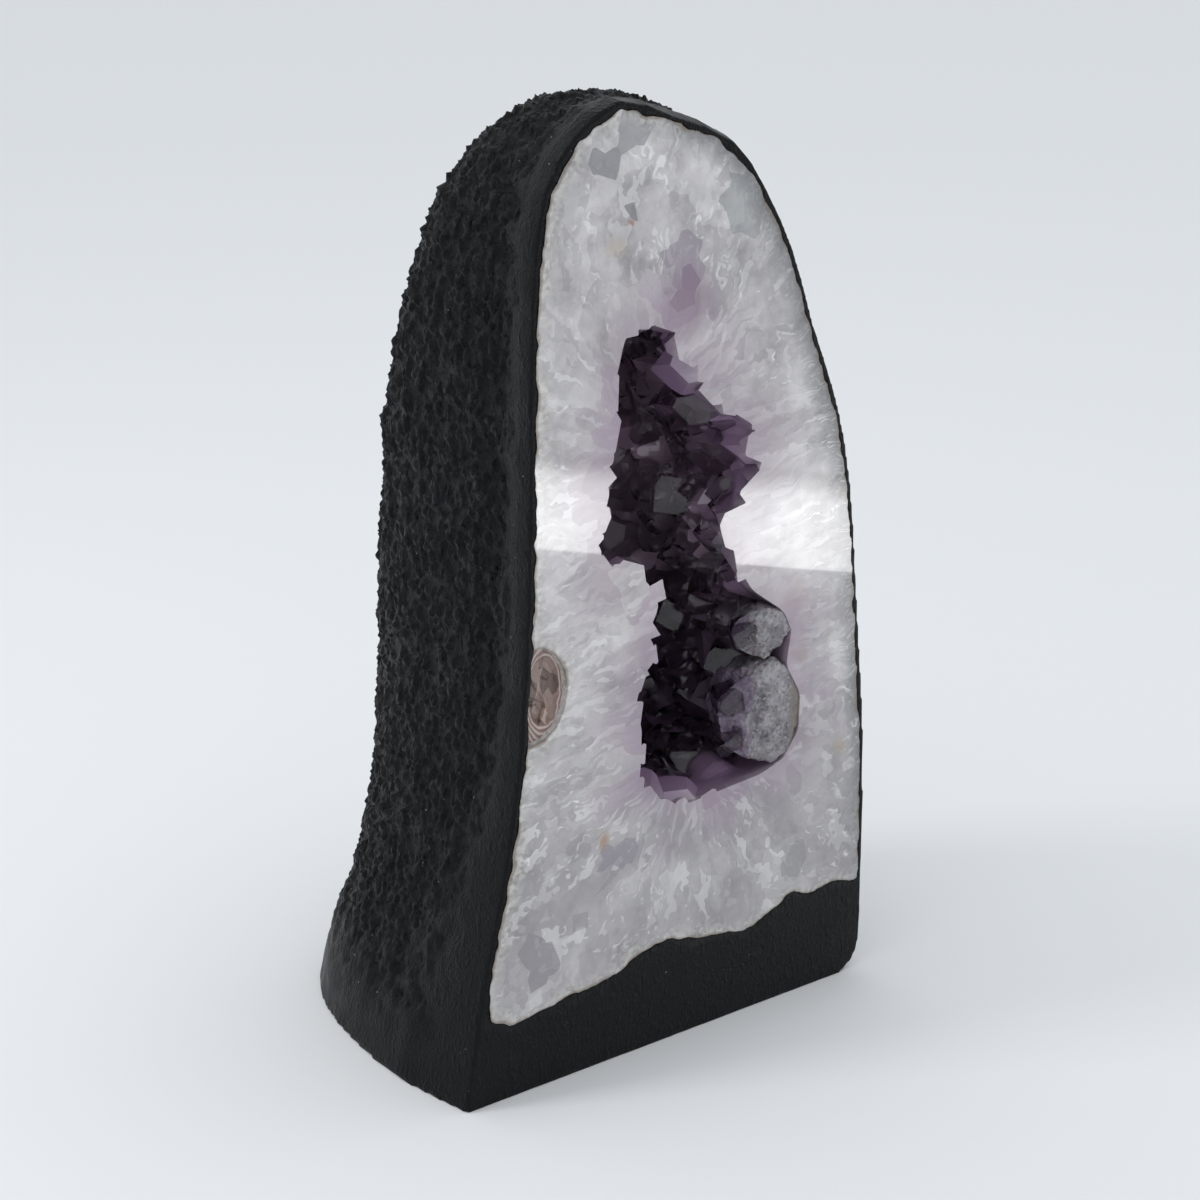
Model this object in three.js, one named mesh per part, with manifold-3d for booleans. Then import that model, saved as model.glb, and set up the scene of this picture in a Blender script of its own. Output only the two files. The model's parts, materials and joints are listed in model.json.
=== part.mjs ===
// Amethyst geode, cut to stand as a "cathedral".
//
// Half of a geode was sawn off flat and polished. Its back is coated with black cement, which
// also fills out a flat foot, so that the stone stands on its own. Behind the polished face a
// hollow is lined with amethyst crystals that point into it. Three rounded nodules of agate and
// chalcedony show in the cut face.
//
// Units are millimetres. +Z is up, +X runs along the polished face from its left foot corner to
// its right one, and +Y goes back into the stone. Shapes are drawn with the left foot corner of
// the face at the origin. The finished group is moved so that the origin is the bottom centre
// of its bounding box.

import * as THREE from "three";
import { mergeVertices } from "three/addons/utils/BufferGeometryUtils.js";
import Module from "manifold-3d";

const wasm = await Module();
wasm.setup();

// ---------------------------------------------------------------- driving dimensions

const STONE_DEPTH = 152; // from the polished face to the farthest point of the back
const STONE_CENTRE_X = 97; // the back closes towards this line of the base
const GIRTH_DEPTH = 35; // how far behind the face the stone reaches its full girth
const RIM_WIDTH = 1.6; // cement that shows round the edge of the polished face
const COAT_THICKNESS = 7; // cement and rind at the girth and at the back
const GAP = 0.3; // clearance between neighbouring pieces
const LEAD = 1; // how far a cut starts in front of the polished face

// Exponents of the curve that rounds the stone off to the back. The width stays full for
// longer than the height does.
const STONE_ROUNDING = { width: [3.2, 3.4], height: [3.9, 1.3] };

// Outlines seen from the front, as x and z, from the left foot corner over the top to the right.
const FACE_OUTLINE = [
  [0, 0], [9, 50], [19, 92], [26, 135], [30, 190], [31.5, 250], [33, 300], [38, 332],
  [51, 350], [70, 360], [95, 352], [121, 341], [136, 323], [150, 298], [160, 271],
  [173, 240], [181, 208], [185, 175], [188.5, 142], [192, 108], [193.5, 73], [194, 40],
  [193.6, 12], [190, 4], [184, 0],
];
const GIRTH_OUTLINE = [
  [-6, 0], [4, 50], [14.5, 92], [22, 135], [27, 190], [29, 250], [31, 300], [37, 334],
  [50, 353], [71, 364], [99, 362], [126, 351], [143, 330], [155, 303], [163, 273],
  [174, 240], [181, 208], [185, 175], [188, 142], [191, 108], [193, 73], [194, 40],
  [194, 14], [191, 5], [186, 0],
];

// Where the cement foot ends and the quartz begins on the face, from right to left.
const FOOT_LINE = [
  [192, 38], [176, 42.5], [166, 39.5], [155, 43.5], [146, 38], [134, 33], [120, 36.5],
  [105, 38], [93, 41.5], [83, 42], [73, 36.5], [61, 33], [47, 32.5], [24, 30], [11, 27.5],
  [7.5, 33], [8, 46],
];
const QUARTZ_CENTRE_Z = 60; // the quartz closes at the back at this height

// The mouth of the hollow. Its ragged outline on the face has the sawn sections of crystals for
// corners, and it widens as it runs back.
const MOUTH = {
  outline: [
    [71, 102], [79, 107.5], [80, 116], [80.5, 131], [77.5, 141], [79.5, 147], [86.5, 162],
    [83, 167], [88.5, 177.5], [83, 187], [74, 194], [56.5, 199.5], [62, 213], [66, 225],
    [61, 231], [69, 235], [64, 243], [65.5, 254], [69, 267], [72, 278], [79, 281],
    [88, 281], [101, 284], [110, 274.5], [101, 270], [106, 257], [112, 246.5], [125, 237],
    [123, 225], [137.5, 221.5], [123.5, 211], [116, 204], [128.5, 187], [124, 183],
    [131, 174], [139, 168.5], [147, 163], [152.5, 154], [150.5, 140], [158, 127],
    [157.5, 112], [150, 102], [139, 98.5], [120, 97], [99, 95.5], [91, 101.5], [80, 98],
  ],
  lip: 3, // how far back its edge runs straight
  depth: 34,
  growth: [1.15, 1.05], // how much wider and higher it has become at its depth
};

// The hollow behind the mouth, without its crystals: its outline where it is widest, and how it
// swells behind the lip and closes at the back.
const HOLLOW = {
  outline: [
    [63, 104], [62, 130], [57, 165], [51, 200], [52, 232], [57, 262], [66, 284], [84, 296],
    [100, 294], [116, 281], [131, 258], [142, 232], [147, 206], [154, 178], [163, 148],
    [167, 120], [160, 96], [138, 84], [104, 81], [74, 87],
  ],
  centre: [106, 182],
  front: 4,
  neck: 0.35, // its size at the front, as a share of its full size
  girthDepth: 30,
  depth: 112,
  rounding: { width: [3.4, 2.2], height: [3.4, 2.2] },
};

// Six-sided crystals with pyramid tips, rooted in the wall of the hollow.
const CRYSTAL = {
  tipSlope: 38, // degrees between a pyramid face and the crystal's axis
  prism: 3, // length of the six-sided column that stands out of the wall
  root: 10, // length of the column inside the wall
  lean: 0.35, // how far an axis turns away from straight in, at most, as a slope
  sizeSpread: 0.3, // how much a crystal's size differs from its row's, as a share
};
// Rows of crystals from the mouth to the back: depth, number and radius.
const CRYSTAL_ROWS = [
  [24, 20, 9], [38, 19, 10], [53, 17, 10.5], [70, 15, 11], [87, 12, 12], [101, 8, 12.5],
];
const RANDOM_SEED = 7;

// Rounded nodules: centre, half sizes, and how far their cut face lies behind the polished one.
const NODULES = {
  agate_nodule: { centre: [30, 0, 155], half: [18, 17, 20], setBack: 2.4 },
  large_chalcedony_nodule: { centre: [139, 7, 122], half: [19, 24, 20], setBack: 0.8 },
  small_chalcedony_nodule: { centre: [140, 6, 154.5], half: [11.5, 17, 11], setBack: 1.2 },
};

// How finely the bodies are divided into facets.
const STEPS_PER_SPAN = 2;
const BASE_STEPS = 6;
const INNER_ARCH_STEPS = 32;
const INNER_FOOT_STEPS = 16;
const HOLLOW_STEPS = 26;
const STONE_ROWS = 13;
const INNER_ROWS = 9;
const HOLLOW_ROWS = 8;

// ---------------------------------------------------------------- outlines

const toVectors = (points) => points.map(([x, z]) => new THREE.Vector2(x, z));

const smoothStep = (t) => THREE.MathUtils.smoothstep(t, 0, 1);

// A smooth line through the given points, with each span between two of them divided alike.
function smoothLine(points, stepsPerSpan) {
  const knots = points.map(([x, z]) => new THREE.Vector3(x, z, 0));
  const curve = new THREE.CatmullRomCurve3(knots, false, "centripetal");
  const steps = (points.length - 1) * stepsPerSpan;
  return curve.getPoints(steps).map((p) => new THREE.Vector2(p.x, p.y));
}

// The same straight-sided line with evenly spaced points.
function respaced(points, steps) {
  const path = new THREE.CurvePath();
  points.slice(1).forEach((point, i) => path.add(new THREE.LineCurve(points[i], point)));
  return path.getSpacedPoints(steps);
}

// An arch that stands on the base: the curve over the top, then straight back along the base.
function archLoop(points) {
  const arch = smoothLine(points, STEPS_PER_SPAN);
  const base = respaced([arch.at(-1), arch[0]], BASE_STEPS).slice(1, -1);
  return [...arch, ...base];
}

// An open line moved to the right of the way it runs.
function drawnIn(line, distance) {
  return line.map((point, i) => {
    const before = line[Math.max(i - 1, 0)];
    const after = line[Math.min(i + 1, line.length - 1)];
    const along = after.clone().sub(before).normalize();
    return new THREE.Vector2(point.x + along.y * distance, point.y - along.x * distance);
  });
}

// The outline of the quartz inside an arch of cement: the arch drawn in by a wall, and closed
// below by the foot line.
function quartzLoop(points, wall) {
  const inside = drawnIn(smoothLine(points, STEPS_PER_SPAN * 2), wall);
  const [rightEnd, leftEnd] = [FOOT_LINE[0], FOOT_LINE.at(-1)];
  const arch = inside.filter((p) => p.y > (p.x < STONE_CENTRE_X ? leftEnd[1] : rightEnd[1]));
  const ends = [leftEnd[0], rightEnd[0], arch[0].x, arch.at(-1).x];
  const foot = FOOT_LINE.map(
    ([x, z]) => new THREE.Vector2(THREE.MathUtils.mapLinear(x, ...ends), z),
  );
  return [
    ...respaced([...arch, foot[0]], INNER_ARCH_STEPS).slice(0, -1),
    ...respaced(foot, INNER_FOOT_STEPS),
  ];
}

// ---------------------------------------------------------------- lofted bodies

// How much of a body's width or height is left at a share of its depth.
const leftAt = (share, [inner, outer]) => (1 - share ** inner) ** (1 / outer);

// Depths of the sections of a body, closer together towards its rounded back.
const sectionDepths = (depth, rows) =>
  Array.from({ length: rows }, (_, i) => depth * Math.sin((Math.PI / 2) * (i / rows)));

// Rings of points joined into a closed body, capped on the first ring and brought to a point
// behind the last one. A ring runs clockwise seen from the front.
function bodyOfRings(rings, tip) {
  const count = rings[0].length;
  const faces = [];
  for (let i = 0; i < count; i += 1) {
    const next = (i + 1) % count;
    for (let ring = 0; ring + 1 < rings.length; ring += 1) {
      const a = ring * count + i;
      const b = ring * count + next;
      faces.push(a, b, a + count);
      faces.push(b, b + count, a + count);
    }
    const last = (rings.length - 1) * count;
    faces.push(last + i, last + next, rings.length * count);
  }
  const front = rings[0].map((p) => new THREE.Vector2(p.x, p.z));
  faces.push(...THREE.ShapeUtils.triangulateShape(front, []).flat());
  const geometry = new THREE.BufferGeometry().setFromPoints([...rings.flat(), tip]);
  return geometry.setIndex(faces);
}

// A body between a face outline and a point at the back: it swells from the face outline to
// the girth outline and then rounds off towards a centre. A lead runs straight out of its face.
function swellingBody({ face, girth, depth, centre, rows, lead }) {
  const rings = sectionDepths(depth, rows).map((y) => {
    const swell = smoothStep(y / GIRTH_DEPTH);
    const wide = leftAt(y / depth, STONE_ROUNDING.width);
    const high = leftAt(y / depth, STONE_ROUNDING.height);
    return face.map((point, i) => {
      const p = point.clone().lerp(girth[i], swell);
      return new THREE.Vector3(
        centre.x + (p.x - centre.x) * wide,
        y,
        centre.y + (p.y - centre.y) * high,
      );
    });
  });
  if (lead > 0) rings.unshift(rings[0].map((p) => p.clone().setY(-lead)));
  return bodyOfRings(rings, new THREE.Vector3(centre.x, depth, centre.y));
}

// The same body with its whole surface moved inwards.
function shrunk(geometry, distance) {
  const smaller = geometry.clone();
  smaller.computeVertexNormals();
  const { position, normal } = smaller.attributes;
  for (let i = 0; i < position.count; i += 1) {
    const inwards = new THREE.Vector3().fromBufferAttribute(normal, i).multiplyScalar(-distance);
    const p = new THREE.Vector3().fromBufferAttribute(position, i).add(inwards);
    position.setXYZ(i, ...p);
  }
  return smaller;
}

// ---------------------------------------------------------------- solids

// A solid from a closed geometry.
function solidFrom(geometry) {
  geometry.deleteAttribute("normal");
  geometry.deleteAttribute("uv");
  const merged = mergeVertices(geometry, 1e-4);
  return new wasm.Manifold(
    new wasm.Mesh({
      numProp: 3,
      vertProperties: merged.attributes.position.array,
      triVerts: new Uint32Array(merged.index.array),
    }),
  );
}

function geometryFrom(made) {
  const { vertProperties, triVerts } = made.getMesh();
  const geometry = new THREE.BufferGeometry();
  geometry.setAttribute("position", new THREE.BufferAttribute(vertProperties, 3));
  geometry.setIndex(new THREE.BufferAttribute(triVerts, 1));
  return geometry;
}

// The largest of the separate bodies that a cut leaves.
function largestBody(made) {
  const bodies = made.decompose();
  return bodies.reduce((best, body) => (body.volume() > best.volume() ? body : best));
}

// Everything that lies farther back than a plane parallel to the polished face.
function spaceBehind(y) {
  const size = 1000;
  const block = new THREE.BoxGeometry(size, size, size);
  block.translate(0, y + size / 2, 0);
  return solidFrom(block);
}

// ---------------------------------------------------------------- the stone

const stoneBody = () =>
  swellingBody({
    face: archLoop(FACE_OUTLINE),
    girth: archLoop(GIRTH_OUTLINE),
    depth: STONE_DEPTH,
    centre: new THREE.Vector2(STONE_CENTRE_X, 0),
    rows: STONE_ROWS,
    lead: 0,
  });

// The space that the cement leaves for the quartz, open at the polished face.
const quartzSpace = () =>
  swellingBody({
    face: quartzLoop(FACE_OUTLINE, RIM_WIDTH),
    girth: quartzLoop(GIRTH_OUTLINE, COAT_THICKNESS),
    depth: STONE_DEPTH - COAT_THICKNESS,
    centre: new THREE.Vector2(STONE_CENTRE_X, QUARTZ_CENTRE_Z),
    rows: INNER_ROWS,
    lead: LEAD,
  });

// ---------------------------------------------------------------- the hollow

const hollowOutline = new THREE.CatmullRomCurve3(
  HOLLOW.outline.map(([x, z]) => new THREE.Vector3(x, 0, z)),
  true,
  "centripetal",
);

// A point in a section at a depth, moved away from the hollow's axis or towards it.
function aboutAxis(x, y, z, wide, high) {
  const [centreX, centreZ] = HOLLOW.centre;
  return new THREE.Vector3(centreX + (x - centreX) * wide, y, centreZ + (z - centreZ) * high);
}

// A point of the hollow's wall, at a share of the way round it and at a depth.
function hollowWall(share, y) {
  const p = hollowOutline.getPointAt(THREE.MathUtils.euclideanModulo(share, 1));
  const swell = (y - HOLLOW.front) / (HOLLOW.girthDepth - HOLLOW.front);
  const open = THREE.MathUtils.lerp(HOLLOW.neck, 1, smoothStep(swell));
  const wide = open * leftAt(y / HOLLOW.depth, HOLLOW.rounding.width);
  const high = open * leftAt(y / HOLLOW.depth, HOLLOW.rounding.height);
  return aboutAxis(p.x, y, p.z, wide, high);
}

// The direction from the wall straight into the hollow.
function inwardAt(share, y) {
  const here = hollowWall(share, y);
  const round = hollowWall(share + 0.01, y).sub(here);
  const back = hollowWall(share, y + 1).sub(here);
  return back.cross(round).normalize();
}

function hollowSpace() {
  const [x, z] = HOLLOW.centre;
  const rings = sectionDepths(HOLLOW.depth - HOLLOW.front, HOLLOW_ROWS).map((y) =>
    Array.from({ length: HOLLOW_STEPS }, (_, i) =>
      hollowWall(i / HOLLOW_STEPS, HOLLOW.front + y),
    ),
  );
  return solidFrom(bodyOfRings(rings, new THREE.Vector3(x, HOLLOW.depth, z)));
}

function mouthSpace() {
  const [x, z] = HOLLOW.centre;
  const sections = [[-LEAD, 1, 1], [MOUTH.lip, 1, 1], [MOUTH.depth, ...MOUTH.growth]];
  const rings = sections.map(([depth, wide, high]) =>
    MOUTH.outline.map(([px, pz]) => aboutAxis(px, depth, pz, wide, high)),
  );
  return solidFrom(bodyOfRings(rings, new THREE.Vector3(x, MOUTH.depth * 2, z)));
}

// ---------------------------------------------------------------- crystals

// The same random numbers each time, between 0 and 1.
function randomNumbers(seed) {
  let state = seed;
  return () => {
    state = (state * 1664525 + 1013904223) % 2 ** 32;
    return state / 2 ** 32;
  };
}

// A crystal that stands on the origin and points along +Y.
function crystalGeometry(radius) {
  const slope = THREE.MathUtils.degToRad(CRYSTAL.tipSlope);
  const apothem = radius * Math.cos(Math.PI / 6);
  const profile = [
    new THREE.Vector2(0, -CRYSTAL.root),
    new THREE.Vector2(radius, -CRYSTAL.root),
    new THREE.Vector2(radius, CRYSTAL.prism),
    new THREE.Vector2(0, CRYSTAL.prism + apothem / Math.tan(slope)),
  ];
  return new THREE.LatheGeometry(profile, 6);
}

function crystals() {
  const random = randomNumbers(RANDOM_SEED);
  const spread = (most) => (random() * 2 - 1) * most;
  const grown = [];
  CRYSTAL_ROWS.forEach(([y, count, rowRadius], row) => {
    for (let i = 0; i < count; i += 1) {
      const share = (i + 0.5 * (row % 2) + spread(0.25)) / count;
      const radius = rowRadius * (1 + spread(CRYSTAL.sizeSpread));
      const axis = inwardAt(share, y);
      axis.x += spread(CRYSTAL.lean);
      axis.y += spread(CRYSTAL.lean);
      axis.z += spread(CRYSTAL.lean);
      const geometry = crystalGeometry(radius);
      geometry.rotateY(random() * Math.PI);
      const turn = new THREE.Quaternion();
      turn.setFromUnitVectors(new THREE.Vector3(0, 1, 0), axis.normalize());
      geometry.applyQuaternion(turn);
      geometry.translate(...hollowWall(share, y));
      grown.push(solidFrom(geometry));
    }
  });
  return grown.reduce((joined, crystal) => joined.add(crystal));
}

// ---------------------------------------------------------------- nodules

function noduleBody({ centre, half }, clearance) {
  const ball = new THREE.SphereGeometry(1, 16, 10);
  ball.scale(...half.map((size) => size + clearance));
  ball.translate(...centre);
  return solidFrom(ball);
}

// ---------------------------------------------------------------- assembly

const quartz = solidFrom(shrunk(quartzSpace(), GAP)).intersect(spaceBehind(0));
const nodules = Object.entries(NODULES);

function cementCoat() {
  return solidFrom(stoneBody()).subtract(solidFrom(quartzSpace()));
}

function quartzAndCrystals() {
  let body = quartz.subtract(hollowSpace()).subtract(mouthSpace());
  body = body.add(crystals()).intersect(quartz);
  nodules.forEach(([, nodule]) => {
    body = body.subtract(noduleBody(nodule, GAP));
  });
  return largestBody(body);
}

function noduleInPlace(nodule) {
  return noduleBody(nodule, 0).intersect(quartz).intersect(spaceBehind(nodule.setBack));
}

const MATERIALS = {
  cement: new THREE.MeshStandardMaterial({ color: "#26282a", roughness: 0.9 }),
  quartz: new THREE.MeshStandardMaterial({ color: "#bdb4bf", roughness: 0.2 }),
  agate: new THREE.MeshStandardMaterial({ color: "#a58a80", roughness: 0.5 }),
  chalcedony: new THREE.MeshStandardMaterial({ color: "#8b919b", roughness: 0.5 }),
};

const geode = new THREE.Group();

function addPiece(name, body, material) {
  const mesh = new THREE.Mesh(geometryFrom(body), material);
  mesh.name = name;
  geode.add(mesh);
}

addPiece("cement_coat", cementCoat(), MATERIALS.cement);
addPiece("amethyst_and_quartz", quartzAndCrystals(), MATERIALS.quartz);
nodules.forEach(([name, nodule]) => {
  const material = name === "agate_nodule" ? MATERIALS.agate : MATERIALS.chalcedony;
  addPiece(name, noduleInPlace(nodule), material);
});

const box = new THREE.Box3().setFromObject(geode);
const middle = box.getCenter(new THREE.Vector3());
geode.position.set(-middle.x, -middle.y, -box.min.z);

export default geode;
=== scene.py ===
# %% [markdown]
# # A sawn and polished amethyst geode
# A geode is a hollow stone lined with crystals. This one was sawn in half, its cut face was
# polished, and its back was coated with black cement so that it stands like a small arch.
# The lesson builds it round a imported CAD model, which gives every size and place. Each piece
# is a mesh made from that frame, and each finish is a set of procedural nodes.

# %% The fixed frame
import json
import math

import bmesh
import bpy
import numpy as np
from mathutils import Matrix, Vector, noise
from mathutils.bvhtree import BVHTree
from mathutils.geometry import delaunay_2d_cdt
from mathutils.kdtree import KDTree


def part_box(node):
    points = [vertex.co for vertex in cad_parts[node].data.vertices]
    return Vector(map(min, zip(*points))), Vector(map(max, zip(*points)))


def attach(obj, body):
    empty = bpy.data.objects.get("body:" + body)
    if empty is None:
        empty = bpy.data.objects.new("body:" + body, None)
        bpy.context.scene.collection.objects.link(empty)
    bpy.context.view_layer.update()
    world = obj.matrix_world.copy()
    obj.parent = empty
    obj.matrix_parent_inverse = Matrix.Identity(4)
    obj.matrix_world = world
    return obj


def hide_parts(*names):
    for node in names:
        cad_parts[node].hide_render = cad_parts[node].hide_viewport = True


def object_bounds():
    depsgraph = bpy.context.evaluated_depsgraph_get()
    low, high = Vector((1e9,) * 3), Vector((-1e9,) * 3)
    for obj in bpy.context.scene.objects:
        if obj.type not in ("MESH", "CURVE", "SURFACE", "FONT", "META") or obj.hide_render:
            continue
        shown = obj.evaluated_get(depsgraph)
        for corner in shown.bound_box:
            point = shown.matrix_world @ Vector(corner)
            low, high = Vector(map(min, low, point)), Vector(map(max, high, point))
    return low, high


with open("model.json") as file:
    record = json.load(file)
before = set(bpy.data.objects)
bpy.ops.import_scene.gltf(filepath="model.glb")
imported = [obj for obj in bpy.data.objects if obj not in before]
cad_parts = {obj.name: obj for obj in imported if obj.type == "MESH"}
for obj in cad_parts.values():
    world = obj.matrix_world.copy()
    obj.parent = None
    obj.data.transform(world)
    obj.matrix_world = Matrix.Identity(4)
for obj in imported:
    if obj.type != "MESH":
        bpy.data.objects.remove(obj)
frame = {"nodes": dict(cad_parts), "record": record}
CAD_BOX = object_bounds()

MM = 0.001  # one millimetre in Blender's metres
FACE_Y = CAD_BOX[0].y  # the polished face stands upright at this depth
print("polished face at y =", round(FACE_Y / MM, 1), "mm; box", CAD_BOX[0], CAD_BOX[1])

# %% [markdown]
# ## Camera
# The stone is seen from a little above its top, from in front and to the left, so that the
# black side and the polished face both show. A long lens keeps its verticals nearly parallel.

# %% Camera
scene = bpy.context.scene
camera_data = bpy.data.cameras.new("camera")
camera_data.sensor_width = 36
camera_data.lens = 79.2
camera = bpy.data.objects.new("camera", camera_data)
camera.location = (-0.5738, -0.7760, 0.4896)
camera.rotation_euler = (math.radians(90 - 19), 0, math.radians(-37.68))
scene.collection.objects.link(camera)
scene.camera = camera

# %% [markdown]
# ## Small helpers
# Materials and Geometry Nodes are both node trees, so one function adds a node to either. It
# takes the node's own settings by name. Its inputs get plain values, hex colours, another
# node's output, or a node, which stands for its first active output. Colours are written as
# sRGB hex codes, which Blender's linear shaders need converted.


# %% Helpers for colours and nodes
def linear(code):
    """An sRGB hex colour such as "#c8c4ca" as linear red, green, blue and alpha."""
    channels = [int(code[i : i + 2], 16) / 255 for i in (1, 3, 5)]
    low = [c / 12.92 for c in channels]
    high = [((c + 0.055) / 1.055) ** 2.4 for c in channels]
    return (*[b if c > 0.04045 else a for c, a, b in zip(channels, low, high)], 1)


def feed(node, sockets):
    """Sets or links a node's inputs, which are given by name or number."""
    for key, value in sockets.items():
        if isinstance(value, str) and value.startswith("#"):
            value = linear(value)
        if isinstance(value, bpy.types.Node):
            value = next(output for output in value.outputs if output.enabled)
        if isinstance(value, bpy.types.NodeSocket):
            node.id_data.links.new(value, node.inputs[key])
        else:
            node.inputs[key].default_value = value


def add(tree, kind, sockets=None, **settings):
    """Adds a node: settings are its properties, sockets are what feeds its inputs."""
    node = tree.nodes.new(kind)
    for name, value in settings.items():
        setattr(node, name, value)
    feed(node, sockets or {})
    return node


def clamp(number):
    """The number kept between 0 and 1."""
    return min(1, max(0, number))


# %% [markdown]
# ## Floor and light
# The stone stands on a plain pale floor. Light comes from a large soft panel overhead, from
# the pale room all round, and from a narrow bright panel low in front. The polished face
# mirrors that narrow panel as one clean white band across the quartz.

# %% Floor
FLOOR_SIZE = 12.0

floor_paint = bpy.data.materials.new("pale_floor")  # matt paint
floor_paint.use_nodes = True
feed(
    floor_paint.node_tree.nodes["Principled BSDF"],
    {"Base Color": "#edeef0", "Roughness": 0.8, "Specular IOR Level": 0.2},
)
corners = [(-1, -1), (1, -1), (1, 1), (-1, 1)]
floor_mesh = bpy.data.meshes.new("floor")
floor_mesh.from_pydata(
    [(x * FLOOR_SIZE / 2, y * FLOOR_SIZE / 2, 0) for x, y in corners], [], [(0, 1, 2, 3)]
)
floor_mesh.materials.append(floor_paint)
floor = bpy.data.objects.new("floor", floor_mesh)
scene.collection.objects.link(floor)

# %% Room light
world = bpy.data.worlds.new("pale_room")
world.use_nodes = True
feed(world.node_tree.nodes["Background"], {"Color": "#e9edf0", "Strength": 0.97})
scene.world = world
scene.view_settings.view_transform = "Standard"


def soft_panel(name, place, size, power):
    """A square area light aimed at the middle of the stone."""
    data = bpy.data.lights.new(name, "AREA")
    data.shape = "RECTANGLE"
    data.size = data.size_y = size
    data.energy = power
    lamp = bpy.data.objects.new(name, data)
    lamp.location = place
    aim = (CAD_BOX[0] + CAD_BOX[1]) / 2 - Vector(place)
    lamp.rotation_euler = aim.to_track_quat("-Z", "Y").to_euler()
    scene.collection.objects.link(lamp)


soft_panel("overhead_panel", (0.2, -0.2, 1.7), 1.2, 2)
soft_panel("left_panel", (-0.95, 0.35, 1.15), 0.3, 4)

# %% Panel that the polished face mirrors
BAND_CENTRE = Vector((0.237, -0.375, 0.0955))
BAND_WIDTH = 0.62
BAND_HEIGHT = 0.052
BAND_TILT = math.radians(-4.5)
BAND_STRENGTH = 6.5
BAND_SOFT_TOP = 0.35  # share of the height over which the glow fades at its upper edge

look = Vector((0.578, -0.748, 0)).normalized()
across = Vector((-look.y, look.x, 0))
across = (across * math.cos(BAND_TILT) + Vector((0, 0, math.sin(BAND_TILT)))).normalized()
upward = look.cross(across).normalized()
band_mesh = bpy.data.meshes.new("band_panel")
band_mesh.from_pydata(
    [BAND_CENTRE + across * a * BAND_WIDTH / 2 + upward * b * BAND_HEIGHT / 2 for a, b in corners],
    [],
    [(0, 1, 2, 3)],
)
glow = bpy.data.materials.new("panel_glow")
glow.use_nodes = True
nodes = glow.node_tree
nodes.nodes.clear()
spot = add(nodes, "ShaderNodeTexCoord").outputs["Object"]
height = add(nodes, "ShaderNodeVectorMath", {0: spot, 1: upward}, operation="DOT_PRODUCT")
top = BAND_CENTRE.dot(upward) + BAND_HEIGHT / 2
fade = {
    "Value": height,
    "From Min": top,
    "From Max": top - BAND_HEIGHT * BAND_SOFT_TOP,
    "To Max": BAND_STRENGTH,
}
fade = add(nodes, "ShaderNodeMapRange", fade, interpolation_type="SMOOTHSTEP")
light = add(nodes, "ShaderNodeEmission", {"Strength": fade})
add(nodes, "ShaderNodeOutputMaterial", {"Surface": light})
band_mesh.materials.append(glow)
band = bpy.data.objects.new("band_panel", band_mesh)
band.visible_camera = False
band.visible_diffuse = False
band.visible_shadow = False
band.visible_transmission = False
scene.collection.objects.link(band)

# %% [markdown]
# ## Working from the frame
# The CAD model holds five plain solids. A copy of one, with its doubles merged, is cut open
# by taking away the faces that lie in the polished plane. What is left falls into separate
# shells, and each shell, closed again, is a solid to shape: the outside of the stone, the
# pocket that holds the quartz, the wall of the hollow.

# %% Copies of the CAD solids
FLAT = 0.02 * MM  # a point this near the polished plane lies in it


def merged_copy(node):
    """A CAD node's surface as one joined bmesh."""
    bm = bmesh.new()
    bm.from_mesh(frame["nodes"][node].data)
    bmesh.ops.remove_doubles(bm, verts=bm.verts, dist=0.002 * MM)
    return bm


def in_front_plane(face):
    """Whether a face lies in the polished plane."""
    return all(v.co.y < FACE_Y + FLAT for v in face.verts)


def extent(group):
    """The length of the diagonal of the box round some vertices."""
    co = np.array([v.co for v in group])
    return float(np.linalg.norm(co.max(0) - co.min(0)))


def joined_groups(edges):
    """The groups of vertices that hang together by some edges, largest first."""
    links = {}
    for edge in edges:
        a, b = edge.verts
        links.setdefault(a, []).append(b)
        links.setdefault(b, []).append(a)
    left = set(links)
    groups = []
    while left:
        group = []
        waiting = [left.pop()]
        while waiting:
            vert = waiting.pop()
            group.append(vert)
            fresh = [v for v in links[vert] if v in left]
            left.difference_update(fresh)
            waiting.extend(fresh)
        groups.append(group)
    return sorted(groups, key=extent, reverse=True)


def closed_shells(node):
    """The solids left of a node once its polished front is taken off."""
    bm = merged_copy(node)
    front = [f for f in bm.faces if in_front_plane(f)]
    bmesh.ops.delete(bm, geom=front, context="FACES")
    bm.verts.index_update()
    found = []
    for group in joined_groups(bm.edges):
        keep = {v.index for v in group}
        part = bm.copy()
        drop = [v for i, v in enumerate(part.verts) if i not in keep]
        bmesh.ops.delete(part, geom=drop, context="VERTS")
        bmesh.ops.holes_fill(part, edges=part.edges, sides=0)
        bmesh.ops.recalc_face_normals(part, faces=part.faces)
        found.append(part)
    bm.free()
    return found


def link_mesh(name, bm):
    """A new object at the origin that holds a bmesh."""
    mesh = bpy.data.meshes.new(name)
    bm.to_mesh(mesh)
    bm.free()
    piece = bpy.data.objects.new(name, mesh)
    scene.collection.objects.link(piece)
    return piece


def settle(piece):
    """Turns what the modifiers make into the object's own plain mesh."""
    graph = bpy.context.evaluated_depsgraph_get()
    evaluated = piece.evaluated_get(graph)
    made = bpy.data.meshes.new_from_object(
        evaluated, preserve_all_data_layers=True, depsgraph=graph
    )
    piece.modifiers.clear()
    piece.data = made
    return piece


def triangles(piece):
    """How many triangles a piece's mesh has."""
    return sum(len(p.vertices) - 2 for p in piece.data.polygons)


stone_body, quartz_pocket = closed_shells("cement_coat")[:2]
print("stone outside", len(stone_body.verts), "points, pocket", len(quartz_pocket.verts))

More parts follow.
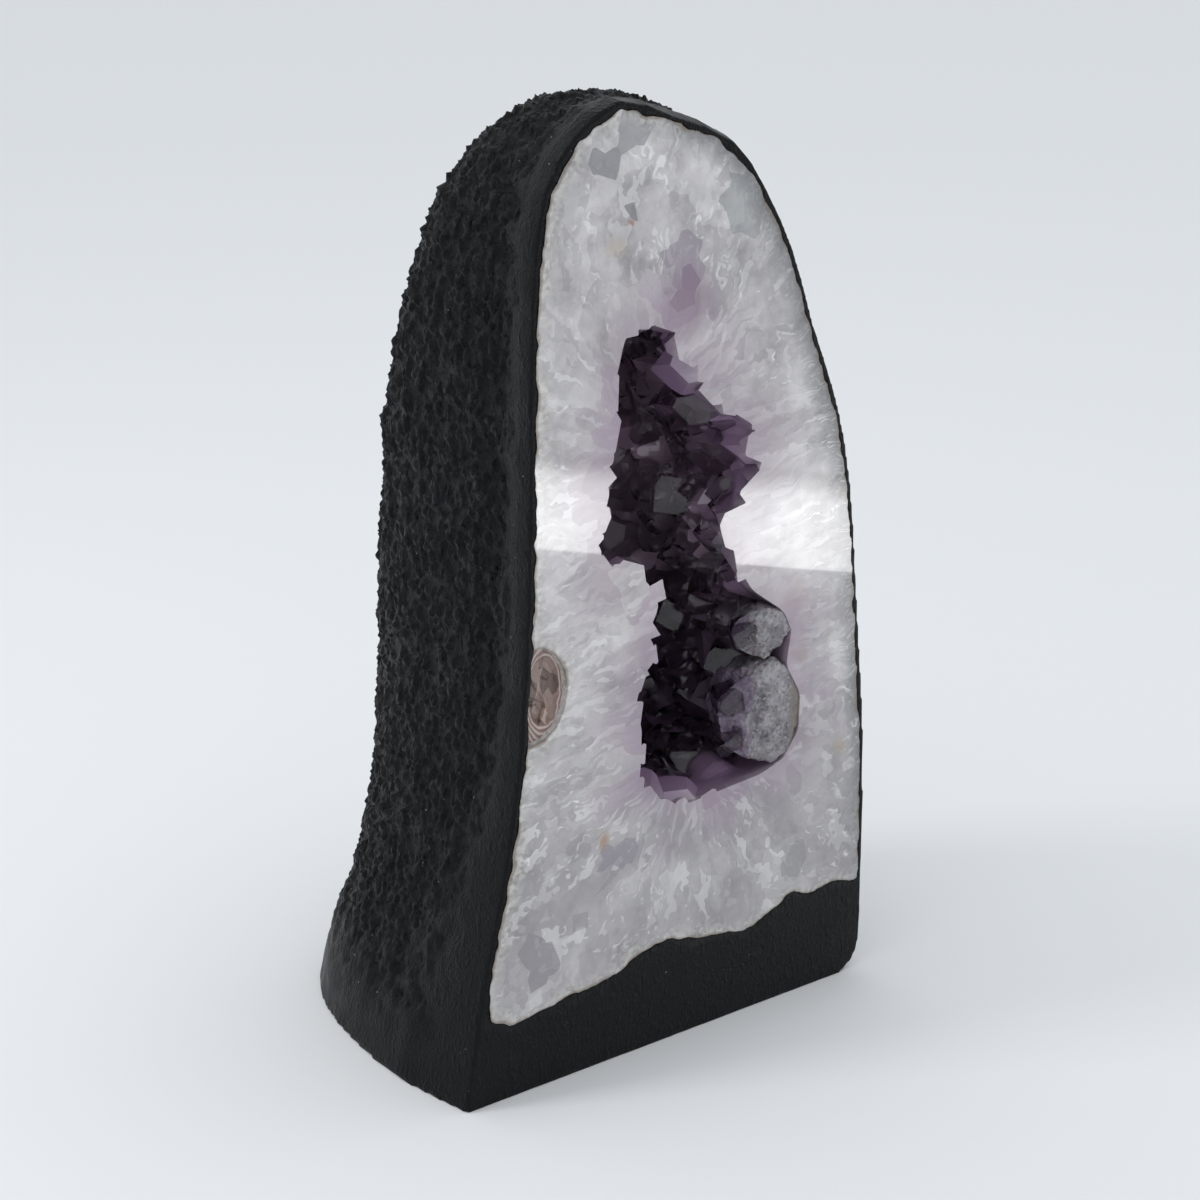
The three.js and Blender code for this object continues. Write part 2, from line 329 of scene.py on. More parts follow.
# %% [markdown]
# ## Pocket and hollow as natural shapes
# The CAD solids have straight facets. The real pocket and hollow have rounded, uneven
# outlines with sharp edges only where the saw went through. So each is first carried a little
# way out in front of the polished plane, then remeshed and smoothed. The saw comes last.

# %% Smooth solids
FORWARD = 8 * MM
ROCK_STEP = 2.0 * MM


def even_skin(piece, step, passes, smooth=False):
    """Remeshes a piece in even steps and softens its edges."""
    remesh = piece.modifiers.new("even_skin", "REMESH")
    remesh.mode = "VOXEL"
    remesh.voxel_size = step
    remesh.use_smooth_shade = smooth
    soften = piece.modifiers.new("soft_edges", "SMOOTH")
    soften.factor = 0.5
    soften.iterations = passes
    return settle(piece)


def natural(name, bm, passes):
    """A remeshed and smoothed solid that sticks out in front of the polished plane."""
    front = [f for f in bm.faces if in_front_plane(f)]
    made = bmesh.ops.extrude_face_region(bm, geom=front)["geom"]
    moved = [g for g in made if isinstance(g, bmesh.types.BMVert)]
    bmesh.ops.translate(bm, verts=moved, vec=(0, -FORWARD, 0))
    return even_skin(link_mesh(name, bm), ROCK_STEP, passes)


def cut_away(piece, tool, operation="DIFFERENCE"):
    """Takes one closed solid out of another, or keeps only what lies in both."""
    cut = piece.modifiers.new("cut", "BOOLEAN")
    cut.object = tool
    cut.operation = operation
    cut.solver = "MANIFOLD"
    return settle(piece)


EDGE_RELIEF = 1.3 * MM  # how far the cement wanders over the edge of the quartz
EDGE_LUMP = 7 * MM
COVER = 5 * MM  # cement kept over the quartz behind the face, so that no knob is cut through
COVER_REACH = 18 * MM  # depth behind the face at which the cover is full
pocket = natural("quartz_pocket", quartz_pocket, 8)
# Normals are read before any point moves, because a read after a move works them all out anew.
normals = [v.normal.copy() for v in pocket.data.vertices]
for vert, normal in zip(pocket.data.vertices, normals):
    bite = clamp(0.5 + noise.fractal(vert.co / EDGE_LUMP, 1.0, 2.0, 3))
    behind = clamp((vert.co.y - FACE_Y) / COVER_REACH)
    vert.co -= normal * (EDGE_RELIEF * bite + COVER * behind)
mold = bpy.data.objects.new("pocket_mold", pocket.data.copy())
scene.collection.objects.link(mold)
hollow = natural("hollow", closed_shells("amethyst_and_quartz")[1], 3)

# Crystals broke away along the right of the upper mouth, so it is wider there near the face.
BROKEN_MIDDLE = 222 * MM  # height of the broken stretch
BROKEN_REACH = 36 * MM
BROKEN_WIDTH = 9 * MM
BROKEN_DEPTH = 35 * MM  # depth at which the wall is whole again
for vert in hollow.data.vertices:
    rise = (vert.co.z - BROKEN_MIDDLE) / BROKEN_REACH
    inside = clamp((vert.co.y - FACE_Y) / BROKEN_DEPTH)
    if vert.co.x > 0:
        vert.co.x += BROKEN_WIDTH * math.exp(-rise * rise) * (1 - inside)
print("pocket", triangles(pocket), "triangles, hollow", triangles(hollow))

# %% [markdown]
# ## Geometry Nodes in a script
# A Geometry Nodes tree is built once with named inputs, hung on an object as a modifier and
# run once. Its result is kept as a plain mesh, so nothing has to be worked out again later.


# %% Helpers for Geometry Nodes
def geometry_tree(name, inputs):
    """A tree with a geometry way in and out and the named inputs. Returns it and its entry."""
    tree = bpy.data.node_groups.new(name, "GeometryNodeTree")
    tree.interface.new_socket("Geometry", in_out="OUTPUT", socket_type="NodeSocketGeometry")
    tree.interface.new_socket("Geometry", in_out="INPUT", socket_type="NodeSocketGeometry")
    for label, kind in inputs.items():
        tree.interface.new_socket(label, in_out="INPUT", socket_type="NodeSocket" + kind)
    return tree, add(tree, "NodeGroupInput").outputs


def run_tree(piece, tree, values):
    """Sets the tree's inputs by their identifiers, runs it and keeps the result as a mesh."""
    modifier = piece.modifiers.new(tree.name, "NODES")
    modifier.node_group = tree
    for item in tree.interface.items_tree:
        if item.item_type == "SOCKET" and item.in_out == "INPUT" and item.name in values:
            modifier[item.identifier] = values[item.name]
    return settle(piece)


# %% [markdown]
# ## The cement coat
# The rind of the stone was covered by hand with black cement, dabbed on in knobs and wrinkles
# 2 to 6 mm across that mostly run upwards. Beside the face and on the foot it was brushed
# smooth. A sculptor would push it about by hand. Here the stone's outside is remeshed evenly,
# and a Geometry Nodes tree sinks each point below the CAD surface by a height that it adds up
# from four patterns, so the coat never grows past its real size.

# %% An even skin for the coat
SKIN_STEP = 1.1 * MM
COAT_TRIANGLES = 190000

coat = even_skin(link_mesh("black_cement_coat", stone_body), SKIN_STEP, 4, smooth=True)
print("coat skin:", triangles(coat), "triangles")

# %% Relief of the coat
SIZES = ("Face Depth", "Brushed Width", "Foot Height", "Knob Size", "Knob Relief", "Swell Relief")
tree, entry = geometry_tree(
    "dabbed_cement", dict.fromkeys(SIZES, "Float") | {"Material": "Material"}
)
position = add(tree, "GeometryNodeInputPosition")
point = add(tree, "ShaderNodeVectorMath", {0: position, 1: (1 / MM,) * 3}, operation="MULTIPLY")
axes = add(tree, "ShaderNodeSeparateXYZ", {0: point}).outputs

# How far the brushed zone reaches: a band beside the face that widens low down, and the foot.
ragged = add(tree, "ShaderNodeTexNoise", {"Vector": point, "Scale": 1 / 9, "Detail": 3})
behind = add(tree, "ShaderNodeMath", {0: axes["Y"], 1: entry["Face Depth"]}, operation="SUBTRACT")
widening = {"Value": axes["Z"], "From Min": 150, "From Max": 40, "To Min": 1, "To Max": 2.4}
widening = add(tree, "ShaderNodeMapRange", widening, interpolation_type="SMOOTHSTEP")
reach = add(
    tree, "ShaderNodeMath", {0: widening, 1: entry["Brushed Width"]}, operation="MULTIPLY"
)
wander = add(tree, "ShaderNodeMath", {0: ragged, 1: 1.1, 2: 0.45}, operation="MULTIPLY_ADD")
band_edge = add(tree, "ShaderNodeMath", {0: reach, 1: wander}, operation="MULTIPLY")
band_share = add(tree, "ShaderNodeMath", {0: behind, 1: band_edge}, operation="DIVIDE")
foot_edge = add(
    tree, "ShaderNodeMath", {0: entry["Foot Height"], 1: wander}, operation="MULTIPLY"
)
foot_share = add(tree, "ShaderNodeMath", {0: axes["Z"], 1: foot_edge}, operation="DIVIDE")
nearest = add(tree, "ShaderNodeMath", {0: band_share, 1: foot_share}, operation="MINIMUM")
rough_zone = {"Value": nearest, "From Min": 0.35, "From Max": 1.6}
rough_zone = add(tree, "ShaderNodeMapRange", rough_zone, interpolation_type="SMOOTHSTEP")

# Knobs and wrinkles: the point is first pushed about by noise and squeezed upwards, so that
# the cells run together into ridges that climb the stone.
warp = add(tree, "ShaderNodeTexNoise", {"Vector": point, "Scale": 1 / 11, "Detail": 2}).outputs[1]
pushed = add(
    tree, "ShaderNodeVectorMath", {0: warp, 1: (9, 9, 9), 2: point}, operation="MULTIPLY_ADD"
)
squeezed = add(tree, "ShaderNodeVectorMath", {0: pushed, 1: (1, 1, 0.62)}, operation="MULTIPLY")
knob_scale = add(tree, "ShaderNodeMath", {0: 1.0, 1: entry["Knob Size"]}, operation="DIVIDE")
fine_scale = add(tree, "ShaderNodeMath", {0: knob_scale, 1: 2.1}, operation="MULTIPLY")
knobs, fine_knobs = [
    add(
        tree,
        "ShaderNodeTexVoronoi",
        {"Vector": squeezed, "Scale": scale, "Smoothness": smoothness},
        feature="SMOOTH_F1",
    )
    for scale, smoothness in ((knob_scale, 0.35), (fine_scale, 0.3))
]
RIDGED = {"noise_type": "RIDGED_MULTIFRACTAL", "normalize": True}  # sharp crests
wrinkles = {"Vector": squeezed, "Scale": 1 / 10, "Detail": 3, "Roughness": 0.55}
wrinkles = add(tree, "ShaderNodeTexNoise", wrinkles, **RIDGED)
swell = add(tree, "ShaderNodeTexNoise", {"Vector": point, "Scale": 1 / 32, "Detail": 1})
graze = add(tree, "ShaderNodeTexNoise", {"Vector": point, "Scale": 1 / 6, "Detail": 2})

# The patterns as one depth in mm below the CAD surface, from 0 at the top of a knob.
depth = add(tree, "ShaderNodeMath", {0: fine_knobs, 1: 0.45, 2: knobs}, operation="MULTIPLY_ADD")
depth = add(tree, "ShaderNodeMath", {0: wrinkles, 1: -0.75, 2: depth}, operation="MULTIPLY_ADD")
depth = add(tree, "ShaderNodeMapRange", {"Value": depth, "From Min": -0.45, "From Max": 0.9})
sunk = add(tree, "ShaderNodeMath", {0: depth, 1: entry["Knob Relief"]}, operation="MULTIPLY")
sunk = add(
    tree,
    "ShaderNodeMath",
    {0: swell, 1: entry["Swell Relief"], 2: sunk},
    operation="MULTIPLY_ADD",
)
sunk = add(tree, "ShaderNodeMath", {0: sunk, 1: rough_zone}, operation="MULTIPLY")
sunk = add(tree, "ShaderNodeMath", {0: graze, 1: 0.35, 2: sunk}, operation="MULTIPLY_ADD")
metres = add(tree, "ShaderNodeMath", {0: sunk, 1: -MM}, operation="MULTIPLY")
normal = add(tree, "GeometryNodeInputNormal")
offset = add(tree, "ShaderNodeVectorMath", {0: normal, "Scale": metres}, operation="SCALE")
shown = entry["Geometry"]
for name, value in (("hollow_share", depth), ("rough_zone", rough_zone)):
    shown = add(
        tree,
        "GeometryNodeStoreNamedAttribute",
        {"Geometry": shown, "Name": name, "Value": value},
        data_type="FLOAT",
        domain="POINT",
    )
shown = add(tree, "GeometryNodeSetPosition", {"Geometry": shown, "Offset": offset})
shown = add(tree, "GeometryNodeRealizeInstances", {"Geometry": shown})
finish = {"Geometry": shown, "Material": entry["Material"]}
add(tree, "NodeGroupOutput", {0: add(tree, "GeometryNodeSetMaterial", finish)})

# %% [markdown]
# ## Materials in layers
# Every finish here starts as a material with its patterns drawn in millimetres. Its colour is
# built like a painter's: one tone first, and then washes over it. A wash is a colour and a
# share, and the share climbs as some pattern goes from one value to another.


# %% Helpers for materials
def new_material(name):
    """A material, its tree, its shader, and Object coordinates in mm to draw patterns in."""
    material = bpy.data.materials.new(name)
    material.use_nodes = True
    tree = material.node_tree
    place = add(tree, "ShaderNodeTexCoord").outputs["Object"]
    point = add(tree, "ShaderNodeVectorMath", {0: place, 1: (1 / MM,) * 3}, operation="MULTIPLY")
    return material, tree, tree.nodes["Principled BSDF"], point


def wash(tree, under, colour, source, start, full, most=1.0, times=()):
    """A colour laid over another by a share that climbs to its most from start to full."""
    climb = {"Value": source, "From Min": start, "From Max": full, "To Max": most}
    share = add(tree, "ShaderNodeMapRange", climb)
    for factor in times:
        share = add(tree, "ShaderNodeMath", {0: share, 1: factor}, operation="MULTIPLY")
    return add(tree, "ShaderNodeMix", {0: share, 6: under, 7: colour}, data_type="RGBA")


# %% [markdown]
# ## Black cement
# Cement with lampblack, dry and unsealed: nearly black, quite matt, with sand grains under a
# millimetre that catch single points of light. The hollows between the knobs are painted
# darker than the knob tops, as painted shade.

# %% Black cement material
SAND_GRAIN = 0.9  # mm
SPECK_SPACING = 7.0  # mm between light sand grains and bits of lime
CREASE = 2.6  # mm between fine creases

black_cement, nodes, shader, point = new_material("black_cement")
hollow_shade_mask = add(nodes, "ShaderNodeAttribute", attribute_name="hollow_share").outputs["Fac"]
zone = add(nodes, "ShaderNodeAttribute", attribute_name="rough_zone").outputs["Fac"]
patches = add(nodes, "ShaderNodeTexNoise", {"Vector": point, "Scale": 1 / 16, "Detail": 4})
brushed = add(nodes, "ShaderNodeMix", {0: patches, 6: "#040405", 7: "#0e0f11"}, data_type="RGBA")
# Painted shade: the knobbly coat darkens from the knob tops down into the hollows between them.
knobs_with_painted_shade = wash(nodes, "#2a2d32", "#020203", hollow_shade_mask, 0.15, 0.75)
body = add(nodes, "ShaderNodeMix", {0: zone, 6: brushed, 7: knobs_with_painted_shade}, data_type="RGBA")

# Half of the specks show, each as a torn dot.
speck = {"Vector": point, "Scale": 1 / SPECK_SPACING}
speck = add(nodes, "ShaderNodeTexVoronoi", speck).outputs
torn = add(nodes, "ShaderNodeMath", {0: patches, 1: 0.09}, operation="MULTIPLY")
dot = add(nodes, "ShaderNodeMath", {0: speck["Distance"], 1: torn}, operation="LESS_THAN")
pick = add(nodes, "ShaderNodeSeparateColor", {0: speck["Color"]}).outputs
lucky = add(nodes, "ShaderNodeMath", {0: pick[0], 1: 0.5}, operation="GREATER_THAN")
speck = add(nodes, "ShaderNodeMath", {0: dot, 1: lucky}, operation="MULTIPLY")
lime = add(nodes, "ShaderNodeMix", {0: pick[1], 6: "#6f5a45", 7: "#a9a59d"}, data_type="RGBA")
body = add(nodes, "ShaderNodeMix", {0: speck, 6: body, 7: lime}, data_type="RGBA")
dryness = {"Value": patches, "From Min": 0.3, "From Max": 0.7, "To Min": 0.3, "To Max": 0.52}
dryness = add(nodes, "ShaderNodeMapRange", dryness)

# The creases run upwards and are strongest among the knobs. Sand lies over everything.
upright = add(nodes, "ShaderNodeMapping", {"Vector": point, "Scale": (1, 1, 0.55)})
creases = {"Vector": upright, "Scale": 1 / CREASE, "Detail": 4, "Roughness": 0.55}
creases = add(nodes, "ShaderNodeTexNoise", creases | {"Distortion": 0.5}, **RIDGED)
crease_share = add(nodes, "ShaderNodeMapRange", {"Value": zone, "To Min": 0.5})
creases = add(nodes, "ShaderNodeMath", {0: creases, 1: crease_share}, operation="MULTIPLY")
sand = add(nodes, "ShaderNodeTexNoise", {"Vector": point, "Scale": 1 / SAND_GRAIN, "Detail": 3})
bump = add(nodes, "ShaderNodeBump", {"Height": creases, "Strength": 0.9, "Distance": 1.6 * MM})
bump = {"Height": sand, "Strength": 0.9, "Distance": 0.6 * MM, "Normal": bump}
bump = add(nodes, "ShaderNodeBump", bump)
feed(
    shader,
    {"Base Color": body, "Roughness": dryness, "Specular IOR Level": 0.14, "Normal": bump},
)


# %% Make the coat
run_tree(
    coat,
    tree,
    {
        "Face Depth": FACE_Y / MM,
        "Brushed Width": 15.0,
        "Foot Height": 34.0,
        "Knob Size": 3.2,
        "Knob Relief": 4.2,
        "Swell Relief": 2.4,
        "Material": black_cement,
    },
)
cut_away(coat, pocket)
thin = coat.modifiers.new("fewer_on_flats", "DECIMATE")
thin.ratio = min(1, COAT_TRIANGLES / triangles(coat))
settle(coat)

# Thinning can leave a triangle that hangs on by one edge only. Such flaps are taken off.
mended = bmesh.new()
mended.from_mesh(coat.data)
flaps = [f for f in mended.faces if any(e.is_boundary for e in f.edges)]
bmesh.ops.delete(mended, geom=flaps, context="FACES")
still_open = sum(len(e.link_faces) != 2 for e in mended.edges)
mended.to_mesh(coat.data)
mended.free()
print("coat: flaps taken off", len(flaps), "open edges left", still_open)
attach(coat, "root")
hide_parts("cement_coat")
print("coat:", triangles(coat), "triangles", [a.name for a in coat.data.attributes])

# %% [markdown]
# ## Where the hollow runs
# Quartz grew from the rind towards the middle of the hollow, so everything in it points there:
# columns in the polished face, and crystals on the wall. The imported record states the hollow's
# lower and upper part as boxes. The line through their centres is the line that they point to.

# %% Centre line of the hollow
OPENINGS = {o["name"]: o["box_m"] for o in frame["record"]["physics"]["openings"]}


def box_centre(box):
    """The middle of a box given by its lowest and highest corner."""
    return (Vector(box[0]) + Vector(box[1])) / 2


lower = box_centre(OPENINGS["hollow_lower_part"])
upper = box_centre(OPENINGS["hollow_upper_part"])
along = (upper - lower).normalized()
LINE_LOW = lower - along * 15 * MM
LINE_HIGH = upper + along * 35 * MM
print("hollow's centre line from", LINE_LOW, "to", LINE_HIGH)

# %% [markdown]
# ## One amethyst crystal
# Amethyst ends in a six-sided tip whose faces lie at 38 degrees to the axis. Three of them
# usually outgrow the other three. A hexagonal column is cut by six planes, the small faces
# standing a little further out, which gives tips that are never quite alike.

# %% Crystal shapes
TIP_SLOPE = math.radians(38)
ROOT = 1.7  # column below the shoulder, in radii
APOTHEM = math.cos(math.radians(30))
TIP = APOTHEM / math.tan(TIP_SLOPE)
SHAPES = 6


def crystal_shape(name, rng):
    """A six-sided crystal of radius 1 with its shoulder at height 0."""
    bm = bmesh.new()
    bmesh.ops.create_cone(
        bm, cap_ends=True, segments=6, radius1=1, radius2=1, depth=ROOT + 2 * TIP
    )
    bmesh.ops.translate(bm, verts=bm.verts, vec=(0, 0, TIP - ROOT / 2))
    for k in range(6):
        turn = math.radians(60 * k + 30)
        tilt = Vector((math.cos(turn), math.sin(turn), math.tan(TIP_SLOPE))).normalized()
        stand_out = rng.uniform(0, 0.06) if k % 2 else rng.uniform(0.1, 0.4)
        cut = bmesh.ops.bisect_plane(
            bm,
            geom=bm.verts[:] + bm.edges[:] + bm.faces[:],
            plane_co=Vector((0, 0, TIP)) + tilt * stand_out,
            plane_no=tilt,
            clear_outer=True,
        )
        edges = [g for g in cut["geom_cut"] if isinstance(g, bmesh.types.BMEdge)]
        if edges:
            bmesh.ops.contextual_create(bm, geom=edges)
    bmesh.ops.recalc_face_normals(bm, faces=bm.faces)
    return link_mesh(name, bm)


crystal_kit = bpy.data.collections.new("crystal_kit")
rng = np.random.default_rng(11)
for k in range(SHAPES):
    shape = crystal_shape(f"crystal_shape_{k}", rng)
    scene.collection.objects.unlink(shape)
    crystal_kit.objects.link(shape)

# %% [markdown]
# ## The lining of crystals
# Hundreds of crystals crowd the wall, each rooted in it and pointing at the centre line. Placed
# by hand they would take days, so a Geometry Nodes tree scatters points on the wall, turns a
# crystal towards the line at each, and joins them into one solid, so that light which enters
# one crystal crosses no hidden walls between it and the next.

# %% A tree that lines a wall with crystals
FLOATS = (
    "Spacing", "Smallest", "Largest", "Rise", "Lean", "Nearest Depth", "Farthest Depth"
)
lining, entry = geometry_tree(
    "crystal_lining",
    dict.fromkeys(FLOATS, "Float")
    | {
        "Line Low": "Vector",
        "Line High": "Vector",
        "Seed": "Int",
        "Crystals": "Collection",
        "Material": "Material",
    },
)
position = add(lining, "GeometryNodeInputPosition")
depth = add(lining, "ShaderNodeSeparateXYZ", {0: position}).outputs["Y"]
deep, shallow = [
    add(lining, "FunctionNodeCompare", {0: depth, 1: entry[limit]}, operation=side)
    for limit, side in (("Nearest Depth", "GREATER_THAN"), ("Farthest Depth", "LESS_THAN"))
]
zone = add(lining, "FunctionNodeBooleanMath", {0: deep, 1: shallow}, operation="AND")
scattered = add(
    lining,
    "GeometryNodeDistributePointsOnFaces",
    {
        "Mesh": entry["Geometry"],
        "Selection": zone,
        "Distance Min": entry["Spacing"],
        "Density Max": 60000,  # per square metre, more than the spacing lets through
        "Seed": entry["Seed"],
    },
    distribute_method="POISSON",
)

# The nearest point of the centre line, and the way there.
line, away = [
    add(lining, "ShaderNodeVectorMath", {0: end, 1: entry["Line Low"]}, operation="SUBTRACT")
    for end in (entry["Line High"], position)
]
dot, square = [
    add(lining, "ShaderNodeVectorMath", {0: way, 1: line}, operation="DOT_PRODUCT")
    for way in (away, line)
]
share = add(lining, "ShaderNodeMath", {0: dot, 1: square}, operation="DIVIDE", use_clamp=True)
foot = add(lining, "ShaderNodeVectorMath", {0: line, "Scale": share}, operation="SCALE")
inwards = add(lining, "ShaderNodeVectorMath", {0: foot, 1: away}, operation="SUBTRACT")
inwards = add(lining, "ShaderNodeVectorMath", {0: inwards}, operation="NORMALIZE")

# Each crystal leans a little its own way and is spun about its axis.
seed = {"Seed": entry["Seed"]}
sway = {0: (-1, -1, -1), 1: (1, 1, 1)} | seed
sway = add(lining, "FunctionNodeRandomValue", sway, data_type="FLOAT_VECTOR")
sway = add(lining, "ShaderNodeVectorMath", {0: sway, "Scale": entry["Lean"]}, operation="SCALE")
aim = add(lining, "ShaderNodeVectorMath", {0: inwards, 1: sway}, operation="ADD")
turned = add(lining, "FunctionNodeAlignRotationToVector", {"Vector": aim}, axis="Z")
spin = add(lining, "FunctionNodeRandomValue", {3: 2 * math.pi} | seed, data_type="FLOAT")
spin = add(lining, "FunctionNodeEulerToRotation", {0: add(lining, "ShaderNodeCombineXYZ", {2: spin})})
turned = add(lining, "FunctionNodeRotateRotation", {0: turned, 1: spin}, rotation_space="LOCAL")
lifted = add(lining, "ShaderNodeVectorMath", {0: aim, "Scale": entry["Rise"]}, operation="SCALE")
scattered = add(lining, "GeometryNodeSetPosition", {"Geometry": scattered, "Offset": lifted})

# Small crystals are commoner than large ones, so the draw of the size is bent by a power.
luck = add(lining, "FunctionNodeRandomValue", seed, data_type="FLOAT")
luck = add(lining, "ShaderNodeMath", {0: luck, 1: 1.6}, operation="POWER")
radius = {"Value": luck, "To Min": entry["Smallest"], "To Max": entry["Largest"]}
radius = add(lining, "ShaderNodeMapRange", radius)
which = add(lining, "FunctionNodeRandomValue", {5: SHAPES - 1} | seed, data_type="INT")
kit = {0: entry["Crystals"], "Separate Children": True, "Reset Children": True}
stood = {
    "Points": scattered,
    "Instance": add(lining, "GeometryNodeCollectionInfo", kit),
    "Pick Instance": True,
    "Instance Index": which,
    "Rotation": turned,
    "Scale": radius,
}
stood = add(lining, "GeometryNodeInstanceOnPoints", stood)
whole = add(
    lining, "GeometryNodeMeshBoolean", {"Mesh 2": stood}, operation="UNION", solver="MANIFOLD"
)
whole = add(lining, "GeometryNodeRealizeInstances", {"Geometry": whole})
finish = {"Geometry": whole, "Material": entry["Material"]}
add(lining, "NodeGroupOutput", {0: add(lining, "GeometryNodeSetMaterial", finish)})


# %% Crystals that are part of the wall
SAW_DEPTH = 0.2
NODULE_ROOM = 1.6  # how many times a nodule's half size is kept free of crystals
saw_mesh = bmesh.new()
bmesh.ops.create_cube(saw_mesh, size=1)
bmesh.ops.scale(saw_mesh, verts=saw_mesh.verts, vec=(1, SAW_DEPTH, 1))
bmesh.ops.translate(saw_mesh, verts=saw_mesh.verts, vec=(0, FACE_Y - SAW_DEPTH / 2, 0))
saw = link_mesh("saw", saw_mesh)

nodule_boxes = [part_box(n) for n in ("large_chalcedony_nodule", "small_chalcedony_nodule")]


def beside_nodule(face):
    """Whether a face of the wall lies against a nodule, where no crystals grow."""
    spot = face.calc_center_median()
    for low, high in nodule_boxes:
        middle = (low + high) / 2
        half = (high - low) / 2
        gap = [(spot[k] - middle[k]) / (half[k] + 3 * MM) for k in range(3)]
        if Vector(gap).length < NODULE_ROOM:
            return True
    return False


hollow_wall = bmesh.new()
hollow_wall.from_mesh(hollow.data)
under_nodules = [f for f in hollow_wall.faces if beside_nodule(f)]
bmesh.ops.delete(hollow_wall, geom=under_nodules, context="FACES")


def line_wall(name, values):
    """A solid of crystals on the wall of the hollow."""
    piece = link_mesh(name, hollow_wall.copy())
    common = {
        "Line Low": LINE_LOW,
        "Line High": LINE_HIGH,
        "Crystals": crystal_kit,
        "Lean": 0.35,
        "Farthest Depth": FACE_Y + 200 * MM,
    }
    run_tree(piece, lining, common | values)
    print(name, triangles(piece), "triangles")
    return piece


wall_crystals = line_wall(
    "wall_crystals",
    {
        "Spacing": 9.5 * MM,
        "Smallest": 5 * MM,
        "Largest": 12 * MM,
        "Rise": -5 * MM,
        "Nearest Depth": FACE_Y - FORWARD * 0.8,
        "Seed": 3,
    },
)

# %% [markdown]
# ## The quartz block
# Between the cement and the hollow lies milky quartz. Its sawn face is flat and polished, and
# its inner edge is the ragged line where the saw went through the crystals round the mouth.
# Sawing the solid gives both outlines. The sawn face has only long thin triangles, though,
# which could hold no detail, so the face is made again as an even net of small triangles
# between the same outlines.

# %% Outlines of the polished face
FACE_STEP = 1.7 * MM
ROW_STEP = 0.866  # distance between rows of equal triangles, in steps
EDGE_STEP = 0.5 * MM
SEAT_ROOM = 1.04  # size of the agate's seat against the agate

seat_mesh = merged_copy("agate_nodule")
agate_low, agate_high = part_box("agate_nodule")
agate_middle = (agate_low + agate_high) / 2
for vert in seat_mesh.verts:
    vert.co = agate_middle + (vert.co - agate_middle) * SEAT_ROOM
    if vert.co.y < agate_middle.y:
        vert.co.y -= FORWARD
agate_seat = link_mesh("agate_seat", seat_mesh)
cut_away(hollow, wall_crystals)
for tool in (hollow, agate_seat, saw):
    cut_away(pocket, tool)
quartz = bmesh.new()
quartz.from_mesh(pocket.data)
for used in (agate_seat, pocket, wall_crystals):
    bpy.data.objects.remove(used)
bmesh.ops.remove_doubles(quartz, verts=quartz.verts, dist=0.02 * MM)
block = set(joined_groups(quartz.edges)[0])
loose = [v for v in quartz.verts if v not in block]
bmesh.ops.delete(quartz, geom=loose, context="VERTS")
print("block as sawn:", len(quartz.faces), "faces; loose chips dropped:", len(loose), "points")
face_polygons = [f for f in quartz.faces if in_front_plane(f)]
quartz.verts.index_update()
face_tree = BVHTree.FromPolygons(
    [v.co.copy() for v in quartz.verts], [[v.index for v in f.verts] for f in face_polygons]
)


def on_quartz_face(x, z):
    """Whether a point of the polished plane lies on quartz."""
    hit = face_tree.ray_cast(Vector((x, FACE_Y - MM, z)), Vector((0, 1, 0)), 2 * MM)
    return hit[0] is not None


edge_set = {e for f in face_polygons for e in f.edges}
outline_edges = [e for e in edge_set if sum(in_front_plane(f) for f in e.link_faces) == 1]
outline_edges.sort(key=lambda e: e.index)

# The longest outline is the stone's rim. All the others are the mouth.
rim_loop, *mouth_loops = joined_groups(outline_edges)
mouth_loop = [v for loop in mouth_loops for v in loop]
print("rim", len(rim_loop), "points, mouth", len(mouth_loop), "in", len(mouth_loops), "loops")


def edge_points(loop):
    """A search tree of closely spaced points along one outline."""
    members = set(loop)
    spots = []
    for edge in outline_edges:
        a, b = edge.verts
        if a in members:
            steps = max(1, round((b.co - a.co).length / EDGE_STEP))
            spots += [a.co.lerp(b.co, k / steps) for k in range(steps)]
    tree = KDTree(len(spots))
    for k, spot in enumerate(spots):
        tree.insert(spot, k)
    tree.balance()
    return tree


rim_points = edge_points(rim_loop)
mouth_points = edge_points(mouth_loop)

# %% A net of small triangles between the outlines
outline_verts = sorted({v for e in outline_edges for v in e.verts}, key=lambda v: v.index)
place = {v: k for k, v in enumerate(outline_verts)}
points = [(v.co.x, v.co.z) for v in outline_verts]
edges = [tuple(place[v] for v in e.verts) for e in outline_edges]
low = np.array(points).min(0)
high = np.array(points).max(0)
rows = np.arange(low[1], high[1], FACE_STEP * ROW_STEP)
for r, z in enumerate(rows):
    for x in np.arange(low[0] + FACE_STEP / 2 * (r % 2), high[0], FACE_STEP):
        if on_quartz_face(x, z):
            points.append((x, z))
net = delaunay_2d_cdt([Vector(p) for p in points], edges, [], 0, 1e-7)
net_verts, _, net_faces = net[:3]
print("face net:", len(net_verts), "points,", len(net_faces), "triangles")

# %% The block with its fine face
bmesh.ops.delete(quartz, geom=face_polygons, context="FACES")
new_verts = [quartz.verts.new((v.x, FACE_Y, v.y)) for v in net_verts]
for corners in net_faces:
    centre = sum((net_verts[i] for i in corners), Vector((0, 0))) / len(corners)
    if on_quartz_face(centre.x, centre.y):
        quartz.faces.new([new_verts[i] for i in reversed(corners)])
bmesh.ops.remove_doubles(quartz, verts=quartz.verts, dist=0.01 * MM)
bmesh.ops.recalc_face_normals(quartz, faces=quartz.faces)
open_edges = [e for e in quartz.edges if e.is_boundary]
bmesh.ops.holes_fill(quartz, edges=open_edges, sides=0)
print("gaps closed:", len(open_edges), "edges")

